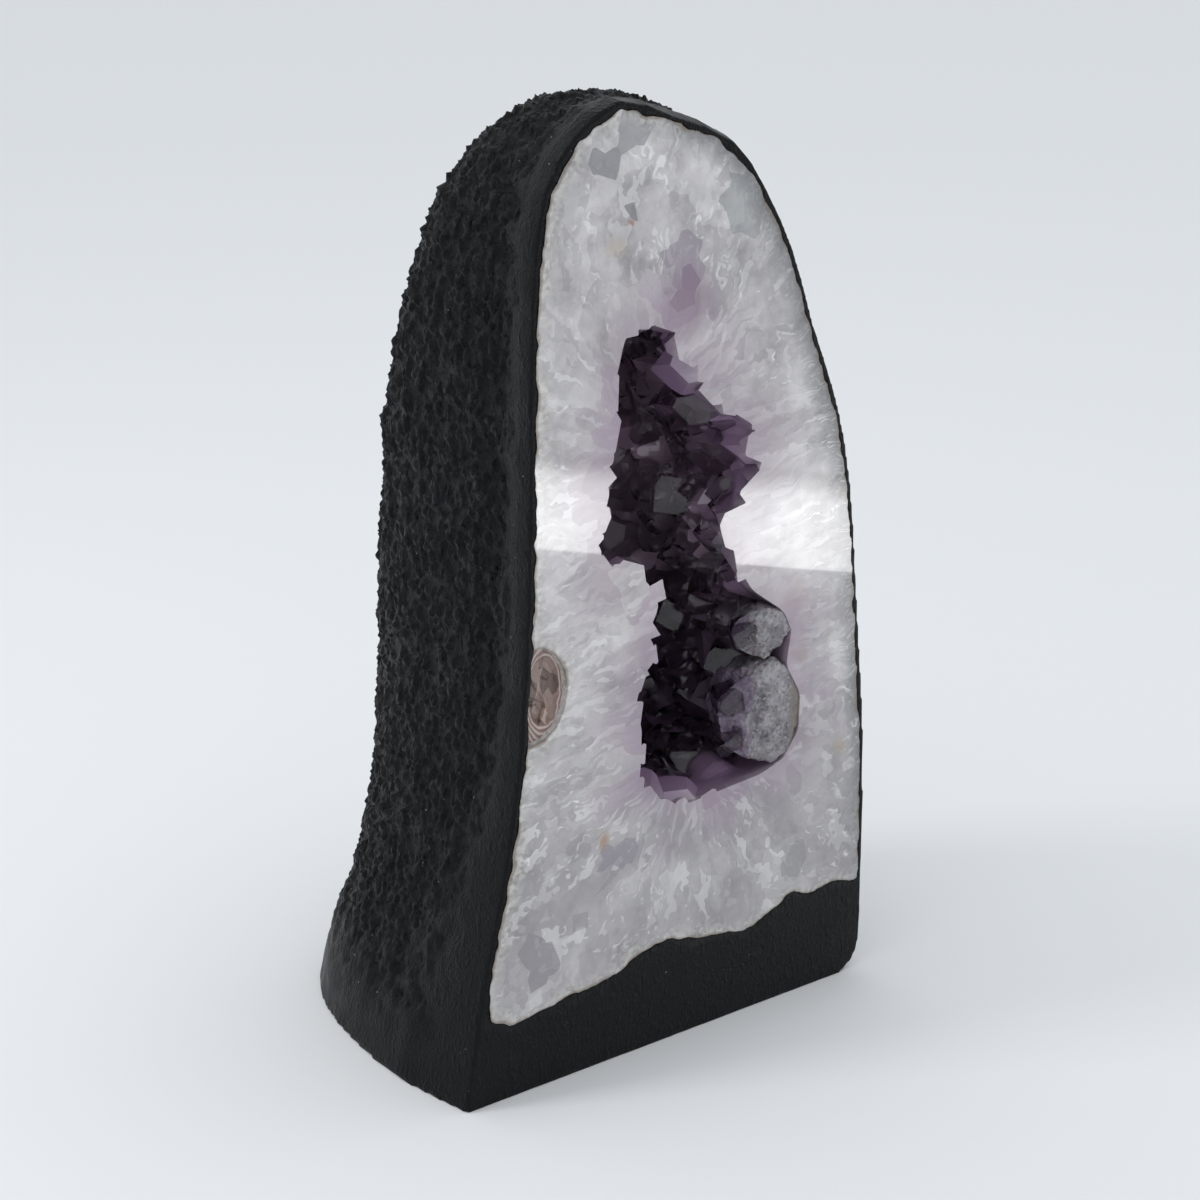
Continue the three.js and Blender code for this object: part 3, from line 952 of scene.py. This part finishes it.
# %% [markdown]
# ## How far in, how far out
# The colour of the stone follows one distance. Far from the mouth the quartz is white, within
# some 20 mm of it a lilac tint grows, and on the walls of the hollow it deepens to purple.
# So each point carries `inward`: minus its distance from the mouth's edge on the polished
# face, and plus its depth behind the face on the walls. It also carries `from_rim`, its
# distance from the cement, for the darker and stained quartz along the edge.

# %% The block as an object, with its distances in millimetres
quartz_block = link_mesh("milky_quartz", quartz)
inward = quartz_block.data.attributes.new("inward", "FLOAT", "POINT")
from_rim = quartz_block.data.attributes.new("from_rim", "FLOAT", "POINT")
for vert in quartz_block.data.vertices:
    depth = (vert.co.y - FACE_Y) / MM
    reach = mouth_points.find(vert.co)[2] / MM
    inward.data[vert.index].value = depth if depth > 0.1 else -reach
    from_rim.data[vert.index].value = rim_points.find(vert.co)[2] / MM
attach(quartz_block, "root")
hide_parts("amethyst_and_quartz")
print("quartz block:", triangles(quartz_block), "triangles")
# %% [markdown]
# ## Milky quartz
# Quartz is clear, and these columns look white because they hold fine cracks and bubbles that
# scatter light. Light enters, wanders a few millimetres and comes out, which is subsurface
# scattering, and the polish on top is a sharp clear coat. The pattern is drawn in fan
# coordinates: how far out from the hollow a point lies, and where round the hollow. A texture
# stretched along the first makes columns that fan out, as the crystals grew.

# %% Fan coordinates for the quartz
RING = 34.0  # mm from the centre line at which column widths are true

milky_quartz, nodes, shader, point = new_material("milky_quartz")
low_mm = LINE_LOW / MM
high_mm = LINE_HIGH / MM
low_mm.y = high_mm.y = 0
run = (high_mm - low_mm).normalized()
flat = add(nodes, "ShaderNodeVectorMath", {0: point, 1: (1, 0, 1)}, operation="MULTIPLY")
bend = add(nodes, "ShaderNodeTexNoise", {"Vector": point, "Scale": 1 / 26, "Detail": 2}).outputs[1]
bent = {0: bend, 1: (9, 0, 9), 2: flat}
bent = add(nodes, "ShaderNodeVectorMath", bent, operation="MULTIPLY_ADD")
away = add(nodes, "ShaderNodeVectorMath", {0: bent, 1: low_mm}, operation="SUBTRACT")
share = add(nodes, "ShaderNodeVectorMath", {0: away, 1: run}, operation="DOT_PRODUCT")
share = {"Value": share, "Min": 0, "Max": (high_mm - low_mm).length}
share = add(nodes, "ShaderNodeClamp", share)
foot = add(nodes, "ShaderNodeVectorMath", {0: run, "Scale": share}, operation="SCALE")
spoke = add(nodes, "ShaderNodeVectorMath", {0: away, 1: foot}, operation="SUBTRACT")
outward = add(nodes, "ShaderNodeVectorMath", {0: spoke}, operation="LENGTH")
heading = add(nodes, "ShaderNodeVectorMath", {0: spoke}, operation="NORMALIZE")
ring = {0: heading, 1: (RING,) * 3, 2: foot}
ring = add(nodes, "ShaderNodeVectorMath", ring, operation="MULTIPLY_ADD")
axes = add(nodes, "ShaderNodeSeparateXYZ", {0: point}).outputs
reach = add(nodes, "ShaderNodeMath", {0: outward, 1: axes["Y"]}, operation="ADD")
reach = add(nodes, "ShaderNodeCombineXYZ", {1: reach})
fan = add(nodes, "ShaderNodeVectorMath", {0: ring, 1: reach}, operation="ADD")

# %% Columns, cloud and fibres
COLUMN = (12.0, 30.0)  # width and length of a crystal column, in mm
FIBRE = (1.1, 18.0)  # of the white threads inside the columns
FEATHER = (4.5, 34.0)  # of the wider feathery veils
FLECK = (2.0, 12.0)  # of flecks where a broken plane catches the light
GRIT = 1.6  # mm, grains of quartz along the rind

inner = add(nodes, "ShaderNodeAttribute", attribute_name="inward").outputs["Fac"]
rim = add(nodes, "ShaderNodeAttribute", attribute_name="from_rim").outputs["Fac"]
wobble = {"Vector": point, "Scale": 1 / 9, "Detail": 2, "Roughness": 0.5}
wobble = add(nodes, "ShaderNodeTexNoise", wobble).outputs[1]
fan = add(
    nodes, "ShaderNodeVectorMath", {0: wobble, 1: (8, 8, 8), 2: fan}, operation="MULTIPLY_ADD"
)
columns, fibres, feathers, flecks = [
    {
        "Vector": add(
            nodes,
            "ShaderNodeMapping",
            {"Vector": fan, "Scale": (1 / width, 1 / length, 1 / width)},
        ),
        "Scale": 1,
    }
    for width, length in (COLUMN, FIBRE, FEATHER, FLECK)
]
luck = add(nodes, "ShaderNodeTexVoronoi", columns).outputs["Color"]
luck = add(nodes, "ShaderNodeSeparateColor", {0: luck}).outputs
seam = add(nodes, "ShaderNodeTexVoronoi", columns, feature="DISTANCE_TO_EDGE")
threads = fibres | {"Detail": 4, "Roughness": 0.6}
threads = add(nodes, "ShaderNodeTexNoise", threads, **RIDGED)
feathers = feathers | {"Detail": 5, "Roughness": 0.6}
feathers = add(nodes, "ShaderNodeTexNoise", feathers, **RIDGED)
fleck = add(nodes, "ShaderNodeTexVoronoi", flecks).outputs["Color"]
fleck = add(nodes, "ShaderNodeSeparateColor", {0: fleck}).outputs
cloud = {"Vector": point, "Scale": 1 / 20, "Detail": 6, "Roughness": 0.62}
cloud = add(nodes, "ShaderNodeTexNoise", cloud)

# Every column has its own shade of milk, and clouds drift across all of them. The quartz is
# clearest, and so greyest, in the lowest third of the face.
LUCK_SHARE = 0.42
milk = add(nodes, "ShaderNodeMapRange", {"Value": cloud, "From Min": 0.34, "From Max": 0.66})
milk = {0: luck[0], 1: LUCK_SHARE, 2: milk}
milk = add(nodes, "ShaderNodeMath", milk, operation="MULTIPLY_ADD")
milk = add(nodes, "ShaderNodeMath", {0: milk, 1: 1 + LUCK_SHARE}, operation="DIVIDE")
body = add(nodes, "ShaderNodeMix", {0: milk, 6: "#8f8a8e", 7: "#dedada"}, data_type="RGBA")
body = wash(nodes, body, "#8a868b", axes["Z"], 165, 85, 0.5)

# Fine cracks and bubbles lie in threads along the growth, strongest away from the hollow.
# Broken planes inside the columns catch the light as small bright or dark flecks. Healed
# joints show as thin bright lines, but only here and there.
outer = {"Value": inner, "From Min": -6, "From Max": -26, "To Min": 0.25}
outer = add(nodes, "ShaderNodeMapRange", outer)
body = wash(nodes, body, "#e9e7e8", threads, 0.16, 0.55, times=(outer, luck[1]))
body = wash(nodes, body, "#dddbdd", feathers, 0.2, 0.75, 0.55)
body = wash(nodes, body, "#efedee", fleck[0], 0.7, 1.0, 0.42)
body = wash(nodes, body, "#7d7a80", fleck[1], 0.7, 1.0, 0.34)
shown = {"Value": threads, "From Min": 0.2, "From Max": 0.5, "To Max": 0.6}
shown = add(nodes, "ShaderNodeMapRange", shown)
body = wash(nodes, body, "#efedef", seam, 0.028, 0.006, times=(shown,))


# %% [markdown]
# ## Clear windows, stains and the rind side
# Some crystals are clear right through and show grey with sharp straight edges, because there
# is no milk in them to scatter light. A few spots are stained by iron. Both are set one by one
# at their places on the face. A window takes in every cell of a Voronoi pattern whose centre
# lies within its radius, which gives it straight sides. Beside the cement the grains are small
# and yellowish, and at the right and on top the black rind shows through clear quartz.

# %% Windows, stains, rind
WINDOWS = (  # x, z and radius in mm, colour, strength
    (-60.8, 52.0, 9.0, "#817d84", 0.7),
    (60.6, 57.9, 8.0, "#88868a", 0.6),
    (31.3, 320.3, 11.0, "#8b8f91", 0.6),
    (-16.1, 349.4, 9.0, "#7f8086", 0.6),
    (-31.0, 339.1, 6.0, "#7b7c82", 0.75),
    (-19.4, 324.3, 5.0, "#75737a", 0.75),
    (-33.2, 229.3, 7.0, "#827a85", 0.6),
    (4.2, 304.0, 10.0, "#86798a", 0.6),
    (-24.4, 245.9, 9.0, "#95899a", 0.5),
    (-26.0, 84.0, 7.0, "#847c88", 0.65),
    (28.0, 96.0, 9.0, "#8d7c8f", 0.5),
    (-40.0, 60.0, 6.0, "#858289", 0.5),
    (62.0, 88.0, 8.0, "#8e8c90", 0.5),
    (57.8, 299.2, 6.0, "#6d6f75", 0.6),
    (7.0, 290.0, 7.0, "#776179", 0.75),
)
STAINS = (  # the same for rust-coloured spots
    (-30.9, 91.6, 4.5, "#a07f62", 0.75),
    (59.0, 166.0, 8.0, "#a3937c", 0.6),
    (63.5, 143.0, 5.0, "#9a8b78", 0.6),
    (85.3, 100.2, 6.0, "#a59379", 0.6),
    (-20.3, 318.5, 1.6, "#9a5f43", 0.7),
    (-26.0, 311.0, 5.0, "#b3a590", 0.5),
    (-1.0, 351.5, 3.0, "#8b6a6c", 0.6),
    (6.0, 286.0, 17.0, "#7a6276", 0.7),
    (-8.0, 108.0, 9.0, "#85728c", 0.5),
)
FRAY = 9.0  # mm, the most that noise carries a stain's edge; it is half of that on average
PANE = 6.5  # mm between the cells that make a window's straight sides
pane = {"Vector": flat, "Scale": 1 / PANE, "Randomness": 1}
pane = add(nodes, "ShaderNodeTexVoronoi", pane, voronoi_dimensions="3D").outputs["Position"]
frayed = {0: wobble, 1: (FRAY, 0, FRAY), 2: flat}
frayed = add(nodes, "ShaderNodeVectorMath", frayed, operation="MULTIPLY_ADD")
for marks, source, soft, shift in ((WINDOWS, pane, 0.97, 0), (STAINS, frayed, 0.3, FRAY / 2)):
    for x, z, radius, colour, strength in marks:
        gap = {0: source, 1: (x + shift, 0, z + shift)}
        gap = add(nodes, "ShaderNodeVectorMath", gap, operation="DISTANCE")
        body = wash(nodes, body, colour, gap, radius, radius * soft, strength)

# Grains, the dark rind and rust each reach their own way in from the rim, further in some
# clouds and threads than in others.
edge, rind, rust = [
    add(nodes, "ShaderNodeMath", {0: pattern, 1: mm, 2: rim}, operation="MULTIPLY_ADD")
    for pattern, mm in ((cloud, 16), (threads, 10), (cloud, 5))
]
grit = add(nodes, "ShaderNodeTexVoronoi", {"Vector": point, "Scale": 1 / GRIT}).outputs["Color"]
grit = add(nodes, "ShaderNodeSeparateColor", {0: grit}).outputs[0]
grit = add(nodes, "ShaderNodeMix", {0: grit, 6: "#8d8a86", 7: "#dad7ce"}, data_type="RGBA")
body = wash(nodes, body, grit, edge, 14, 7, 0.65)
lean = {0: axes["Z"], 1: 0.33, 2: axes["X"]}
lean = add(nodes, "ShaderNodeMath", lean, operation="MULTIPLY_ADD")
rind_side = {"Value": lean, "From Min": 100, "From Max": 125}
rind_side = add(nodes, "ShaderNodeMapRange", rind_side)
body = wash(nodes, body, "#55585f", rind, 10, 1, 0.75, times=(rind_side,))
body = wash(nodes, body, "#6f5f4c", rust, 3.6, 2.6, 0.75)

# %% Lilac towards the hollow
tint = add(nodes, "ShaderNodeMath", {0: cloud, 1: 22, 2: inner}, operation="MULTIPLY_ADD")
tint = add(nodes, "ShaderNodeMath", {0: luck[2], 1: 16, 2: tint}, operation="MULTIPLY_ADD")
body = wash(nodes, body, "#8a7088", tint, -4, 26, 0.72)
body = wash(nodes, body, "#9c80a0", inner, 0.2, 10)
deep = add(nodes, "ShaderNodeMapRange", {"Value": inner, "From Min": 10, "From Max": 45})
body = add(nodes, "ShaderNodeMix", {0: deep, 6: body, 7: "#b49ab0"}, data_type="RGBA")
# Low in the hollow the deep walls are painted a darker purple, as painted shade.
body = wash(nodes, body, "#66506a", axes["Z"], 190, 120, times=(deep,))
feed(
    shader,
    {
        "Base Color": body,
        "Roughness": 0.3,
        "IOR": 1.544,
        "Subsurface Weight": 0.2,
        "Subsurface Radius": (1.0, 0.92, 1.0),
        "Subsurface Scale": 1.2 * MM,
        "Coat Weight": 1.0,
        "Coat Roughness": 0.03,
        "Coat IOR": 1.544,
    },
)
quartz_block.data.materials.clear()
quartz_block.data.materials.append(milky_quartz)

# %% [markdown]
# ## Amethyst
# Clear quartz coloured by a trace of iron: glassy faces, and a purple that deepens with every
# millimetre that the light has to cross. That is plain transmission with quartz's own index of
# refraction, 1.544, and absorption through the volume. Near the mouth the colour is paler.


# %% Amethyst materials
def clear_amethyst(name, colour, density):
    """Clear crystal that absorbs light as it crosses it. Density is per metre."""
    material, nodes, shader, point = new_material(name)
    bloom = add(nodes, "ShaderNodeTexNoise", {"Vector": point, "Scale": 1 / 6, "Detail": 3})
    dull = {"Value": bloom, "From Min": 0.5, "From Max": 0.75, "To Min": 0.02, "To Max": 0.2}
    dull = add(nodes, "ShaderNodeMapRange", dull)
    steps = add(nodes, "ShaderNodeTexNoise", {"Vector": point, "Scale": 1 / 2.2, "Detail": 2})
    bump = {"Height": steps, "Strength": 0.25, "Distance": 0.15 * MM}
    bump = add(nodes, "ShaderNodeBump", bump)
    glass = {"Transmission Weight": 1.0, "IOR": 1.544, "Roughness": dull, "Normal": bump}
    feed(shader, glass)
    depths = add(nodes, "ShaderNodeVolumeAbsorption", {"Color": colour, "Density": density})
    feed(nodes.nodes["Material Output"], {"Volume": depths})
    return material


deep_amethyst = clear_amethyst("deep_amethyst", "#b18ab6", 14)


# %% Clear crystals in the hollow
deep_crystals = line_wall(
    "deep_crystals",
    {
        "Spacing": 13 * MM,
        "Smallest": 5 * MM,
        "Largest": 12 * MM,
        "Rise": 2 * MM,
        "Nearest Depth": FACE_Y + 13 * MM,
        "Material": deep_amethyst,
        "Seed": 8,
    },
)
cut_away(deep_crystals, mold, "INTERSECT")
saw.location.y = 2 * MM  # they end behind the polished face
cut_away(deep_crystals, saw)
saw.location.y = 0
bpy.data.objects.remove(mold)
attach(deep_crystals, "root")
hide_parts("amethyst_and_quartz")
hollow_wall.free()
bpy.data.objects.remove(hollow)

# %% [markdown]
# ## Nodules
# Three rounded lumps of another stone sit in the quartz. At the left rim is agate, with thin
# pink and cream bands round a flaky brown middle. At the right of the mouth are two lumps of
# grey-blue chalcedony, as rough as broken sugar, which grew over purple crystals. Each takes
# its shape from the CAD solid, remeshed, with its own relief sunk into it.


# %% Shape of the nodules
NODULE_STEP = 0.55 * MM
PROUD = 0.6 * MM  # how far behind the polished face a nodule ends


def nodule(name, node, material, relief):
    """A remeshed CAD nodule whose points sink by relief(point), given and taken in mm."""
    piece = even_skin(link_mesh(name, merged_copy(node)), NODULE_STEP, 12)
    normals = [v.normal.copy() for v in piece.data.vertices]
    for vert, normal in zip(piece.data.vertices, normals):
        vert.co -= normal * relief(vert.co / MM) * MM
        vert.co.y = max(vert.co.y, FACE_Y + PROUD)
    piece.data.materials.clear()
    piece.data.materials.append(material)
    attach(piece, "root")
    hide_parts(node)
    print(name, triangles(piece), "triangles")


noise.seed_set(4)  # noise_vector takes its offsets from this seed
AGATE_MIDDLE = agate_middle / MM
AGATE_HALF = (agate_high - agate_low) / 2 / MM
FLAKE = 5.0  # mm
WAIST = 142.7  # mm, height where the small nodule meets the large one
SMALL_SIDE = 42.0  # mm, x of the small nodule's side where crystals stand
LARGE_SIDE = 35.0


def agate_relief(spot):
    """Flakes that step down towards the middle, inside a smooth banded border."""
    off = spot - AGATE_MIDDLE
    ring = math.hypot(off.x / AGATE_HALF.x, off.z / AGATE_HALF.z)
    middle = clamp((0.72 - ring) / 0.12)
    bent = spot / FLAKE + noise.noise_vector(spot / 6) * 0.9
    step = noise.cell(Vector((bent.x * 1.3, 0, bent.z * 0.7 + bent.x * 0.5)))
    return middle * (0.8 + 1.6 * abs(step))


def sugar_relief(spot):
    """Broken chalcedony: uneven, drawn back at its crystals, grown into the quartz behind."""
    swell = noise.noise(spot / 11)
    lumps = noise.fractal(spot / 5, 0.9, 2.0, 3)
    grains = noise.fractal(spot / 1.3, 0.8, 2.0, 2)
    side = SMALL_SIDE if spot.z > WAIST else LARGE_SIDE
    drawn_back = clamp((side + 5 - spot.x) / 10)
    seated = clamp((spot.x - side - 8) / 8)
    uneven = max(0, 1.6 + 2.6 * swell + 1.2 * lumps + 0.35 * grains)
    return uneven + 4.5 * drawn_back - 4.0 * seated


# %% Agate material
BAND_WAVE = 3.0  # mm, the most that noise carries the bands; it is half of that on average
BAND_TURN = 62  # radians of stripe from the middle to the rim, which make about ten bands

agate, nodes, shader, point = new_material("banded_agate")
wave = add(nodes, "ShaderNodeTexNoise", {"Vector": point, "Scale": 1 / 7, "Detail": 3}).outputs[1]
bent = {0: wave, 1: (BAND_WAVE,) * 3, 2: point}
bent = add(nodes, "ShaderNodeVectorMath", bent, operation="MULTIPLY_ADD")
off = {0: bent, 1: AGATE_MIDDLE + Vector((BAND_WAVE / 2,) * 3)}
off = add(nodes, "ShaderNodeVectorMath", off, operation="SUBTRACT")
off = {0: off, 1: (1 / AGATE_HALF.x, 0, 1 / AGATE_HALF.z)}
off = add(nodes, "ShaderNodeVectorMath", off, operation="MULTIPLY")
ring = add(nodes, "ShaderNodeVectorMath", {0: off}, operation="LENGTH")
turns = add(nodes, "ShaderNodeMath", {0: ring, 1: BAND_TURN}, operation="MULTIPLY")
stripe = add(nodes, "ShaderNodeMath", {0: turns}, operation="SINE")
banded = wash(nodes, "#86685f", "#bdb1ac", stripe, -0.5, 0.8)
flake = add(nodes, "ShaderNodeMapping", {"Vector": bent, "Scale": (0.3, 0.1, 0.16)})
flake = add(nodes, "ShaderNodeTexVoronoi", {"Vector": flake, "Scale": 1}).outputs["Color"]
flake = add(nodes, "ShaderNodeSeparateColor", {0: flake}).outputs[0]
flakes = add(nodes, "ShaderNodeMix", {0: flake, 6: "#4d3a35", 7: "#b39c93"}, data_type="RGBA")
feed(
    shader,
    {
        "Base Color": wash(nodes, flakes, banded, ring, 0.66, 0.72),
        "Roughness": 0.42,
        "Subsurface Weight": 0.15,
        "Subsurface Radius": (1, 0.7, 0.6),
        "Subsurface Scale": 1 * MM,
    },
)

# %% Chalcedony material
chalcedony, nodes, shader, point = new_material("sugary_chalcedony")
patch = {"Vector": point, "Scale": 1 / 7, "Detail": 5, "Roughness": 0.65}
patch = add(nodes, "ShaderNodeTexNoise", patch)
grain = add(nodes, "ShaderNodeTexVoronoi", {"Vector": point, "Scale": 1 / 1.1}).outputs["Color"]
grain = add(nodes, "ShaderNodeSeparateColor", {0: grain}).outputs
body = wash(nodes, "#575359", "#989499", patch, 0.35, 0.65)
body = wash(nodes, body, "#b9b6ba", grain[0], 0.7, 1.0, 0.4)
body = wash(nodes, body, "#3c3840", grain[1], 0.8, 0.95, 0.6)
along_x = add(nodes, "ShaderNodeSeparateXYZ", {0: point}).outputs["X"]
along_x = add(nodes, "ShaderNodeMath", {0: patch, 1: 14, 2: along_x}, operation="MULTIPLY_ADD")
body = wash(nodes, body, "#5c4764", along_x, 51, 44, 0.75)
body = wash(nodes, body, "#6e604e", along_x, 65, 68, 0.7)
gritty = add(nodes, "ShaderNodeTexNoise", {"Vector": point, "Scale": 1 / 0.8, "Detail": 2})
bump = add(nodes, "ShaderNodeBump", {"Height": gritty, "Strength": 0.6, "Distance": 0.4 * MM})
feed(
    shader,
    {
        "Base Color": body,
        "Roughness": 0.38,
        "Subsurface Weight": 0.2,
        "Subsurface Scale": 1.5 * MM,
        "Normal": bump,
    },
)


# %% Make the nodules
nodule("agate_nodule", "agate_nodule", agate, agate_relief)
for size in ("large", "small"):
    node = size + "_chalcedony_nodule"
    nodule(node, node, chalcedony, sugar_relief)

# %% [markdown]
# ## Crystals on the nodules
# Three single crystals stand out of the chalcedony towards the hollow: a dark and a lilac one
# on the large nodule, and a dark one on the small nodule. Each is set one by one.

# %% Three single crystals
SINGLES = (  # foot of the crystal in mm, radius in mm, where its tip points, shape
    ((34.0, -67.5, 129.0), 7.6, (-1, -0.45, 0.2), 0),
    ((33.0, -68.0, 113.5), 7.2, (-1, -0.5, -0.15), 2),
    ((41.0, -67.5, 154.5), 6.6, (-1, -0.4, 0.1), 4),
)
singles = bmesh.new()
for foot, radius, heading, shape in SINGLES:
    before = len(singles.verts)
    singles.from_mesh(crystal_kit.objects[shape].data)
    singles.verts.ensure_lookup_table()
    turn = Vector(heading).to_track_quat("Z", "Y")
    for vert in singles.verts[before:]:
        vert.co = turn @ (vert.co * radius * MM) + Vector(foot) * MM
nodule_crystals = link_mesh("nodule_crystals", singles)
nodule_crystals.data.materials.append(clear_amethyst("lilac_amethyst", "#a883ae", 110))
cut_away(nodule_crystals, saw)
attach(nodule_crystals, "root")
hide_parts("amethyst_and_quartz")
bpy.data.objects.remove(saw)
